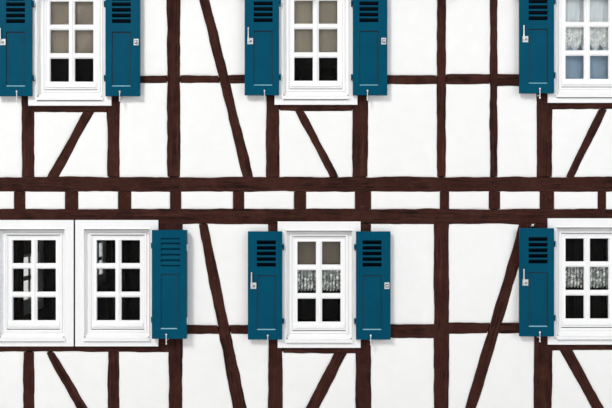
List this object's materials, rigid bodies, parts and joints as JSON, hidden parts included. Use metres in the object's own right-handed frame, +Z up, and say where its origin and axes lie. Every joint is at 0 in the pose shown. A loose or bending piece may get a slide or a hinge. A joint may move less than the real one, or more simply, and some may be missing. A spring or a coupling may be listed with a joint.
{
  "type": "half timbered house",
  "caption": "Half-timbered house with white plaster infill, dark red-brown timbers, louvred teal shutters on pintle hinges, small-paned windows and a steep tiled roof.",
  "frame": {"origin": "middle of the plinth underside, at ground level", "axes": "+Z up, the front with the measured windows faces -Y, +X to the right seen from the front"},
  "size_m": [8.7, 7.76, 9.6892],
  "materials": {
    "timber_front": "matte",
    "oiled_timber": "matte",
    "plaster": "matte",
    "plinth_stone": "rough",
    "roof_tile": "matte",
    "white_paint": "satin",
    "teal_paint": "satin",
    "pane": "clear",
    "pintle_iron": "matte",
    "lace": "matte",
    "floor_wood": "matte"
  },
  "bodies": {
    "house": {"attic_floor": "floor_wood", "attic_joists": "timber_front", "barge_boards": "oiled_timber", "corner_posts": "timber_front", "door_steps": "plinth_stone", "fixed_front_shutters": "teal_paint", "floor_joists": "timber_front", "folding_shutters": "teal_paint", "front_beams": "timber_front", "front_braces": "timber_front", "front_infill": "plaster", "front_posts": "timber_front", "front_rafters": "oiled_timber", "front_rails": "timber_front", "front_roof_tiles": "roof_tile", "front_window_casings": "white_paint", "front_window_frames": "white_paint", "front_window_glass": "pane", "front_window_sashes": "white_paint", "gable_beams": "timber_front", "gable_braces": "timber_front", "gable_infill": "plaster", "gable_posts": "timber_front", "gable_rails": "timber_front", "ground_floor": "floor_wood", "lace_curtains": "lace", "other_window_casings": "white_paint", "other_window_frames": "white_paint", "other_window_glass": "pane", "other_window_sashes": "white_paint", "rear_and_gable_shutters": "teal_paint", "rear_beams": "timber_front", "rear_braces": "timber_front", "rear_door": "oiled_timber", "rear_door_frame": "oiled_timber", "rear_infill": "plaster", "rear_posts": "timber_front", "rear_rafters": "oiled_timber", "rear_rails": "timber_front", "rear_roof_tiles": "roof_tile", "ridge_tiles": "roof_tile", "shutter_pintles": "pintle_iron", "stone_plinth": "plinth_stone", "upper_floor": "floor_wood"},
    "shutter_lower_middle_left_leaf": {"shutter_lower_middle_left": "teal_paint"},
    "shutter_lower_middle_right_leaf": {"shutter_lower_middle_right": "teal_paint"},
    "shutter_lower_right_left_leaf": {"shutter_lower_right_left": "teal_paint"},
    "shutter_upper_left_left_leaf": {"shutter_upper_left_left": "teal_paint"},
    "shutter_upper_left_right_leaf": {"shutter_upper_left_right": "teal_paint"},
    "shutter_upper_middle_left_leaf": {"shutter_upper_middle_left": "teal_paint"},
    "shutter_upper_middle_right_leaf": {"shutter_upper_middle_right": "teal_paint"},
    "shutter_upper_right_left_leaf": {"shutter_upper_right_left": "teal_paint"}
  },
  "joints": [
    {"name": "lower_middle_left_hinge", "type": "hinge", "parent": "house", "child": "shutter_lower_middle_left_leaf", "pos_m": [-0.511, -3.45, 1.451], "axis": [0, 0, 1], "range_deg": [0, 180]},
    {"name": "lower_middle_right_hinge", "type": "hinge", "parent": "house", "child": "shutter_lower_middle_right_leaf", "pos_m": [0.271, -3.45, 1.451], "axis": [0, 0, -1], "range_deg": [0, 180]},
    {"name": "lower_right_left_hinge", "type": "hinge", "parent": "house", "child": "shutter_lower_right_left_leaf", "pos_m": [2.454, -3.45, 1.486], "axis": [0, 0, 1], "range_deg": [0, 180]},
    {"name": "upper_left_left_hinge", "type": "hinge", "parent": "house", "child": "shutter_upper_left_left_leaf", "pos_m": [-3.246, -3.45, 4.108], "axis": [0, 0, 1], "range_deg": [0, 180]},
    {"name": "upper_left_right_hinge", "type": "hinge", "parent": "house", "child": "shutter_upper_left_right_leaf", "pos_m": [-2.464, -3.45, 4.108], "axis": [0, 0, -1], "range_deg": [0, 180]},
    {"name": "upper_middle_left_hinge", "type": "hinge", "parent": "house", "child": "shutter_upper_middle_left_leaf", "pos_m": [-0.546, -3.45, 4.118], "axis": [0, 0, 1], "range_deg": [0, 180]},
    {"name": "upper_middle_right_hinge", "type": "hinge", "parent": "house", "child": "shutter_upper_middle_right_leaf", "pos_m": [0.236, -3.45, 4.118], "axis": [0, 0, -1], "range_deg": [0, 180]},
    {"name": "upper_right_left_hinge", "type": "hinge", "parent": "house", "child": "shutter_upper_right_left_leaf", "pos_m": [2.454, -3.45, 4.139], "axis": [0, 0, 1], "range_deg": [0, 180]}
  ]
}
